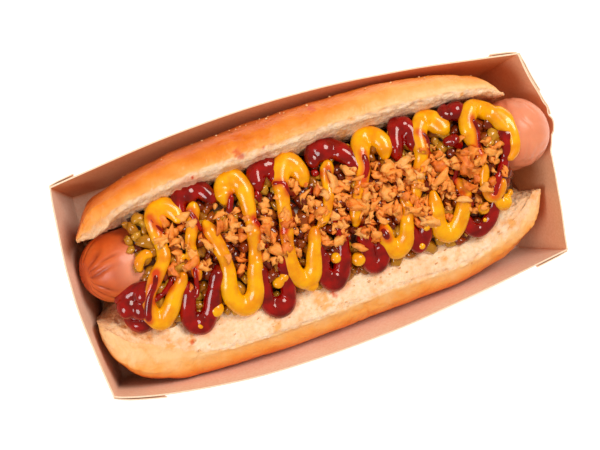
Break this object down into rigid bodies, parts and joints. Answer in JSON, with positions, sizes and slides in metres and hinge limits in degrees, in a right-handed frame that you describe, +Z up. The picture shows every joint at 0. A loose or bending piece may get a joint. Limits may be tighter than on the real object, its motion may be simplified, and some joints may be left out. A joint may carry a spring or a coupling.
{
  "type": "hot dog",
  "caption": "Hot dog with relish, mustard, ketchup and crisp fried onion in an open split bun, served in its open folded card tray.",
  "frame": {"origin": "the underside of the tray's floor, under the middle of the tray", "axes": "+X along the tray from the end with the sausage's drawn-in tip to the end by the tray's bulged wall, +Y across it to the half of the bun that stands higher, +Z up"},
  "size_m": [0.1911, 0.0966, 0.0512],
  "materials": {
    "card": "plain brown card, matt",
    "bread": "baked crust with a pale crumb on the cut faces",
    "sausage": "smooth cooked skin with a soft shine",
    "relish_and_sauces": "wet relish and glossy sauces under dry crisp onion"
  },
  "bodies": {
    "root": {"tray": "card", "bun": "bread", "sausage": "sausage", "toppings": "relish_and_sauces"}
  },
  "joints": []
}
